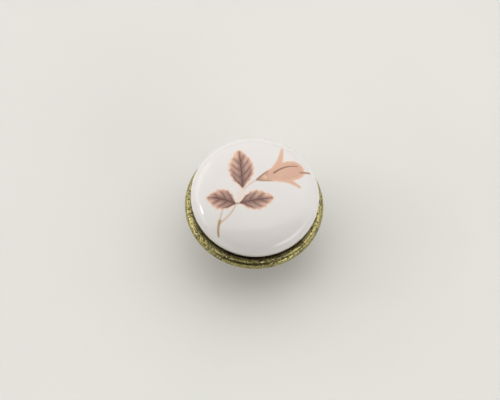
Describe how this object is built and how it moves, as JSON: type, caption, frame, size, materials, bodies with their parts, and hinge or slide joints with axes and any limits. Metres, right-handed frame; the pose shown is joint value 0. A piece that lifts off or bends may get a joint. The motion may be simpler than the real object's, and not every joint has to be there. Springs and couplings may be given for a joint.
{
  "type": "drawer knob",
  "caption": "Porcelain drawer knob in a rounded brass rim cup on a flared pedestal, with a printed leaf and rosebud, and the machine screw and washer that clamp it.",
  "frame": {"origin": "centre of the foot's flat face, which lies on the front face of the drawer", "axes": "+Z along the knob's axis, from the drawer front out through the porcelain; -Y is the side towards the viewer, with the decal's stalk pointing that way"},
  "size_m": [0.038, 0.038, 0.0482],
  "materials": {
    "porcelain": "gloss",
    "cement": "matte",
    "antique_brass": "satin",
    "plain_brass": "satin",
    "zinc_steel": "satin"
  },
  "bodies": {
    "knob": {"porcelain_cap": "porcelain", "cement_bed": "cement", "rim_cup": "antique_brass", "pedestal": "antique_brass", "threaded_insert": "plain_brass"},
    "washer": {"washer": "zinc_steel"},
    "screw": {"mounting_screw": "zinc_steel"}
  },
  "joints": [
    {"name": "screw_feed", "type": "slide", "parent": "knob", "child": "washer", "axis": [0, 0, -1], "range_m": [0, 0.0056]},
    {"name": "screw_turn", "type": "hinge", "parent": "washer", "child": "screw", "pos_m": [0, 0, -0.01885], "axis": [0, 0, -1], "range_deg": [0, 2880.5]}
  ],
  "couplings": [
    {"joint": "screw_turn", "follows": "screw_feed", "rad_per_m": 8976}
  ]
}
